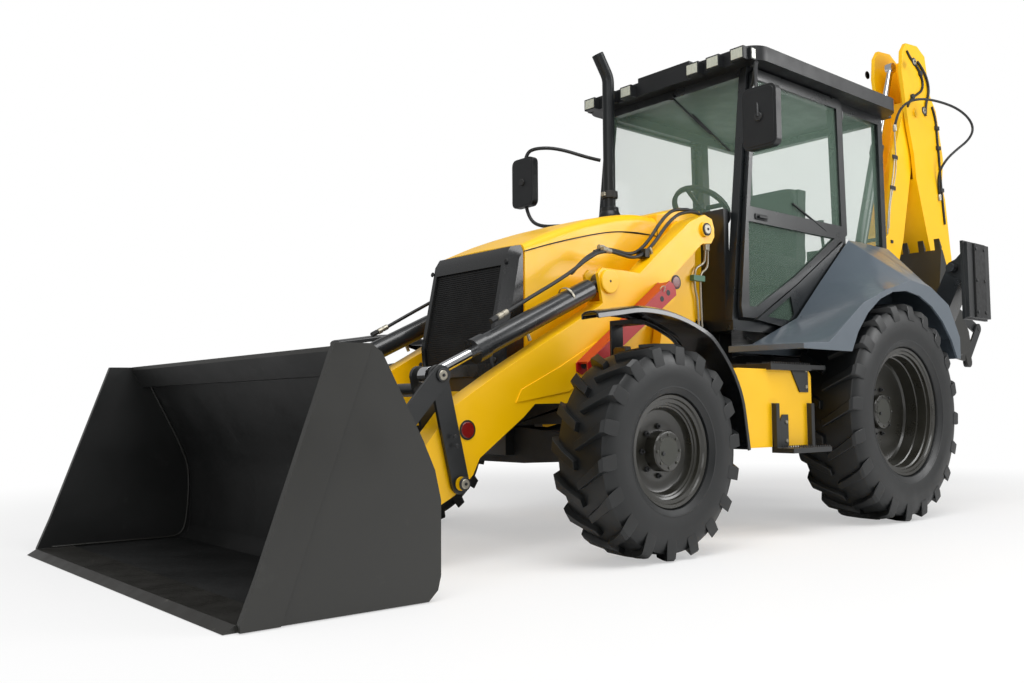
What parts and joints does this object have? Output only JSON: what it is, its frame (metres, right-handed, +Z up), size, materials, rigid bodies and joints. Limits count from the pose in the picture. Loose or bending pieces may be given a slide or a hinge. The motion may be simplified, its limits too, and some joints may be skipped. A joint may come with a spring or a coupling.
{
  "type": "backhoe loader",
  "caption": "Wheeled backhoe loader: glazed cab, front bucket on lift arms, rear digging boom and bucket on a swing post, with fold-down stabilizers.",
  "frame": {"origin": "on the ground, under the middle of the machine's overall length and width", "axes": "+X forward to the loader bucket, +Y to the operator's left, +Z up"},
  "size_m": [7.366, 2.24, 3.7013],
  "materials": {
    "axle_black": "satin",
    "black_plastic": "satin",
    "body_yellow": "gloss",
    "chrome_rod": "polished",
    "door_black": "satin",
    "driveline_grey": "matte",
    "fender_grey": "satin",
    "frame_black": "satin",
    "glass": "gloss",
    "rim_olive": "satin",
    "tank_black": "satin",
    "tool_grey": "satin",
    "tyre": "matte"
  },
  "bodies": {
    "chassis": {"cab_frame": "frame_black", "cab_glass": "glass", "cab_interior": "black_plastic", "cab_roof": "black_plastic", "cowl": "body_yellow", "driveline": "driveline_grey", "exhaust_stack": "tool_grey", "front_axle_beam": "axle_black", "lamps_and_mirrors": "black_plastic", "loader_towers": "body_yellow", "main_frame": "frame_black", "nose_and_panels": "body_yellow", "rear_axle": "axle_black", "rear_fenders": "fender_grey", "rear_frame": "frame_black", "side_tanks": "tank_black"},
    "hood": {"hood": "body_yellow"},
    "door_left": {"door_left": "door_black"},
    "door_right": {"door_right": "door_black"},
    "knuckle_left": {"knuckle_left": "axle_black", "front_fender_left": "black_plastic"},
    "knuckle_right": {"knuckle_right": "axle_black", "front_fender_right": "black_plastic"},
    "front_wheel_left": {"front_tyre_left": "tyre", "front_rim_left": "rim_olive"},
    "front_wheel_right": {"front_tyre_right": "tyre", "front_rim_right": "rim_olive"},
    "rear_wheel_left": {"rear_tyre_left": "tyre", "rear_rim_left": "rim_olive"},
    "rear_wheel_right": {"rear_tyre_right": "tyre", "rear_rim_right": "rim_olive"},
    "loader_arms": {"loader_arms": "body_yellow"},
    "lift_barrels": {"lift_barrels": "body_yellow"},
    "lift_rods": {"lift_rods": "chrome_rod"},
    "loader_bucket": {"loader_bucket": "tool_grey"},
    "tilt_levers": {"tilt_levers": "tool_grey"},
    "tilt_links": {"tilt_links": "tool_grey"},
    "tilt_barrels": {"tilt_barrels": "body_yellow"},
    "tilt_rods": {"tilt_rods": "chrome_rod"},
    "swing_post": {"swing_post": "frame_black"},
    "boom": {"boom": "body_yellow"},
    "boom_barrel": {"boom_barrel": "body_yellow"},
    "boom_rod": {"boom_rod": "chrome_rod"},
    "dipper": {"dipper": "body_yellow"},
    "crowd_barrel": {"crowd_barrel": "body_yellow"},
    "crowd_rod": {"crowd_rod": "chrome_rod"},
    "backhoe_bucket": {"backhoe_bucket": "tool_grey"},
    "tipping_levers": {"tipping_levers": "tool_grey"},
    "tipping_links": {"tipping_links": "tool_grey"},
    "curl_barrel": {"curl_barrel": "body_yellow"},
    "curl_rod": {"curl_rod": "chrome_rod"},
    "stabilizer_arm_left": {"stabilizer_arm_left": "body_yellow"},
    "stabilizer_pad_left": {"stabilizer_pad_left": "tool_grey"},
    "stabilizer_barrel_left": {"stabilizer_barrel_left": "body_yellow"},
    "stabilizer_rod_left": {"stabilizer_rod_left": "chrome_rod"},
    "stabilizer_arm_right": {"stabilizer_arm_right": "body_yellow"},
    "stabilizer_pad_right": {"stabilizer_pad_right": "tool_grey"},
    "stabilizer_barrel_right": {"stabilizer_barrel_right": "body_yellow"},
    "stabilizer_rod_right": {"stabilizer_rod_right": "chrome_rod"}
  },
  "joints": [
    {"name": "hood_hinge", "type": "hinge", "parent": "chassis", "child": "hood", "pos_m": [0.8275, 0, 1.76], "axis": [0, -1, 0], "range_deg": [0, 60]},
    {"name": "door_left_hinge", "type": "hinge", "parent": "chassis", "child": "door_left", "pos_m": [-0.7755, 0.588, 1.9], "axis": [0, 0, 1], "range_deg": [0, 80]},
    {"name": "door_right_hinge", "type": "hinge", "parent": "chassis", "child": "door_right", "pos_m": [-0.7755, -0.588, 1.9], "axis": [0, 0, -1], "range_deg": [0, 80]},
    {"name": "steer_left", "type": "hinge", "parent": "chassis", "child": "knuckle_left", "pos_m": [1.5895, 0.81, 0.484], "axis": [0, 0, 1], "range_deg": [-30, 30]},
    {"name": "steer_right", "type": "hinge", "parent": "chassis", "child": "knuckle_right", "pos_m": [1.5895, -0.81, 0.484], "axis": [0, 0, 1], "range_deg": [-30.05, 30.05]},
    {"name": "front_wheel_left", "type": "hinge", "parent": "knuckle_left", "child": "front_wheel_left", "pos_m": [1.5895, 0.955, 0.484], "axis": [0, 1, 0], "continuous": true},
    {"name": "rear_wheel_left", "type": "hinge", "parent": "chassis", "child": "rear_wheel_left", "pos_m": [-0.5855, 0.89, 0.65], "axis": [0, 1, 0], "continuous": true},
    {"name": "front_wheel_right", "type": "hinge", "parent": "knuckle_right", "child": "front_wheel_right", "pos_m": [1.5895, -0.955, 0.484], "axis": [0, 1, 0], "continuous": true},
    {"name": "rear_wheel_right", "type": "hinge", "parent": "chassis", "child": "rear_wheel_right", "pos_m": [-0.5855, -0.89, 0.65], "axis": [0, 1, 0], "continuous": true},
    {"name": "loader_lift", "type": "hinge", "parent": "chassis", "child": "loader_arms", "pos_m": [0.6495, 0, 1.672], "axis": [0, -1, 0], "range_deg": [0, 76]},
    {"name": "lift_barrel_pivot", "type": "hinge", "parent": "chassis", "child": "lift_barrels", "pos_m": [0.3645, 0, 0.62], "axis": [0, -1, 0], "range_deg": [0, 44.77]},
    {"name": "lift_rod_slide", "type": "slide", "parent": "lift_barrels", "child": "lift_rods", "axis": [0.9919, 0, 0.127], "range_m": [0, 0.98963]},
    {"name": "loader_bucket_tilt", "type": "hinge", "parent": "loader_arms", "child": "loader_bucket", "pos_m": [2.7145, 0, 0.24], "axis": [0, 1, 0], "range_deg": [-34, 108.8]},
    {"name": "tilt_lever_pivot", "type": "hinge", "parent": "loader_arms", "child": "tilt_levers", "pos_m": [2.3875, 0, 0.357], "axis": [0, 1, 0], "range_deg": [-20.05, 64.05]},
    {"name": "tilt_link_pivot", "type": "hinge", "parent": "tilt_levers", "child": "tilt_links", "pos_m": [2.5045, 0, 0.821], "axis": [0, 1, 0], "range_deg": [-46.18, 14.47]},
    {"name": "tilt_barrel_pivot", "type": "hinge", "parent": "loader_arms", "child": "tilt_barrels", "pos_m": [1.4295, 0, 1.316], "axis": [0, 1, 0], "range_deg": [-1.2, 3.73]},
    {"name": "tilt_rod_slide", "type": "slide", "parent": "tilt_barrels", "child": "tilt_rods", "axis": [0.9083, 0, -0.4183], "range_m": [-0.15346, 0.48887]},
    {"name": "backhoe_swing", "type": "hinge", "parent": "chassis", "child": "swing_post", "pos_m": [-2.0555, 0, 0.785], "axis": [0, 0, 1], "range_deg": [-90, 90]},
    {"name": "boom_lower", "type": "hinge", "parent": "swing_post", "child": "boom", "pos_m": [-2.2255, 0, 0.66], "axis": [0, -1, 0], "range_deg": [0, 95]},
    {"name": "boom_barrel_pivot", "type": "hinge", "parent": "swing_post", "child": "boom_barrel", "pos_m": [-2.0855, 0, 1.03], "axis": [0, -1, 0], "range_deg": [0, 98.61]},
    {"name": "boom_rod_slide", "type": "slide", "parent": "boom_barrel", "child": "boom_rod", "axis": [-0.2334, 0, 0.9724], "range_m": [0, 0.58087]},
    {"name": "dipper_out", "type": "hinge", "parent": "boom", "child": "dipper", "pos_m": [-2.7255, 0, 3.12], "axis": [0, 1, 0], "range_deg": [0, 125]},
    {"name": "crowd_barrel_pivot", "type": "hinge", "parent": "boom", "child": "crowd_barrel", "pos_m": [-1.9955, 0, 1.88], "axis": [0, 1, 0], "range_deg": [-8.85, 0]},
    {"name": "crowd_rod_slide", "type": "slide", "parent": "crowd_barrel", "child": "crowd_rod", "axis": [-0.3422, 0, 0.9396], "range_m": [-0.68956, 0]},
    {"name": "backhoe_bucket_uncurl", "type": "hinge", "parent": "dipper", "child": "backhoe_bucket", "pos_m": [-3.3055, 0, 1.25], "axis": [0, 1, 0], "range_deg": [0, 160]},
    {"name": "tipping_lever_pivot", "type": "hinge", "parent": "dipper", "child": "tipping_levers", "pos_m": [-3.2875, 0, 1.49], "axis": [0, 1, 0], "range_deg": [0, 98.08]},
    {"name": "tipping_link_pivot", "type": "hinge", "parent": "tipping_levers", "child": "tipping_links", "pos_m": [-3.6385, 0, 1.362], "axis": [0, 1, 0], "range_deg": [-60.53, 0]},
    {"name": "curl_barrel_pivot", "type": "hinge", "parent": "dipper", "child": "curl_barrel", "pos_m": [-3.1255, 0, 2.76], "axis": [0, 1, 0], "range_deg": [-5.36, 0]},
    {"name": "curl_rod_slide", "type": "slide", "parent": "curl_barrel", "child": "curl_rod", "axis": [-0.3445, 0, -0.9388], "range_m": [-0.55437, 0]},
    {"name": "stabilizer_left_lower", "type": "hinge", "parent": "chassis", "child": "stabilizer_arm_left", "pos_m": [-1.5655, 0.6, 0.8], "axis": [-1, 0, 0], "range_deg": [0, 118]},
    {"name": "stabilizer_pad_left_pivot", "type": "hinge", "parent": "stabilizer_arm_left", "child": "stabilizer_pad_left", "pos_m": [-1.5655, 0.98, 1.6], "axis": [-1, 0, 0], "range_deg": [-20, 20]},
    {"name": "stabilizer_barrel_left_pivot", "type": "hinge", "parent": "chassis", "child": "stabilizer_barrel_left", "pos_m": [-1.5655, 0.062, 1.29], "axis": [-1, 0, 0], "range_deg": [0, 6.46]},
    {"name": "stabilizer_rod_left_slide", "type": "slide", "parent": "stabilizer_barrel_left", "child": "stabilizer_rod_left", "axis": [0, 0.8757, -0.4828], "range_m": [0, 0.39594]},
    {"name": "stabilizer_right_lower", "type": "hinge", "parent": "chassis", "child": "stabilizer_arm_right", "pos_m": [-1.5655, -0.6, 0.8], "axis": [1, 0, 0], "range_deg": [0, 118]},
    {"name": "stabilizer_pad_right_pivot", "type": "hinge", "parent": "stabilizer_arm_right", "child": "stabilizer_pad_right", "pos_m": [-1.5655, -0.98, 1.6], "axis": [1, 0, 0], "range_deg": [-20, 20]},
    {"name": "stabilizer_barrel_right_pivot", "type": "hinge", "parent": "chassis", "child": "stabilizer_barrel_right", "pos_m": [-1.5655, -0.062, 1.29], "axis": [1, 0, 0], "range_deg": [0, 6.46]},
    {"name": "stabilizer_rod_right_slide", "type": "slide", "parent": "stabilizer_barrel_right", "child": "stabilizer_rod_right", "axis": [0, -0.8757, -0.4828], "range_m": [0, 0.39594]}
  ],
  "couplings": [
    {"joint": "steer_right", "follows": "steer_left", "ratio": 1},
    {"joint": "lift_barrel_pivot", "follows": "loader_lift", "ratio": 0.58847},
    {"joint": "lift_rod_slide", "follows": "loader_lift", "m_per_rad": 0.74532},
    {"joint": "tilt_lever_pivot", "follows": "loader_bucket_tilt", "ratio": 0.58823},
    {"joint": "tilt_link_pivot", "follows": "loader_bucket_tilt", "ratio": -0.424},
    {"joint": "tilt_barrel_pivot", "follows": "loader_bucket_tilt", "ratio": 0.033778},
    {"joint": "tilt_rod_slide", "follows": "loader_bucket_tilt", "m_per_rad": 0.25692},
    {"joint": "boom_barrel_pivot", "follows": "boom_lower", "ratio": 1.0375},
    {"joint": "boom_rod_slide", "follows": "boom_lower", "m_per_rad": 0.34973},
    {"joint": "crowd_barrel_pivot", "follows": "dipper_out", "ratio": -0.070385},
    {"joint": "crowd_rod_slide", "follows": "dipper_out", "m_per_rad": -0.31561},
    {"joint": "tipping_lever_pivot", "follows": "backhoe_bucket_uncurl", "ratio": 0.6127},
    {"joint": "tipping_link_pivot", "follows": "backhoe_bucket_uncurl", "ratio": -0.378},
    {"joint": "curl_barrel_pivot", "follows": "backhoe_bucket_uncurl", "ratio": -0.033181},
    {"joint": "curl_rod_slide", "follows": "backhoe_bucket_uncurl", "m_per_rad": -0.19816},
    {"joint": "stabilizer_barrel_left_pivot", "follows": "stabilizer_left_lower", "ratio": 0.054315},
    {"joint": "stabilizer_rod_left_slide", "follows": "stabilizer_left_lower", "m_per_rad": 0.19177},
    {"joint": "stabilizer_barrel_right_pivot", "follows": "stabilizer_right_lower", "ratio": 0.054315},
    {"joint": "stabilizer_rod_right_slide", "follows": "stabilizer_right_lower", "m_per_rad": 0.19177}
  ]
}
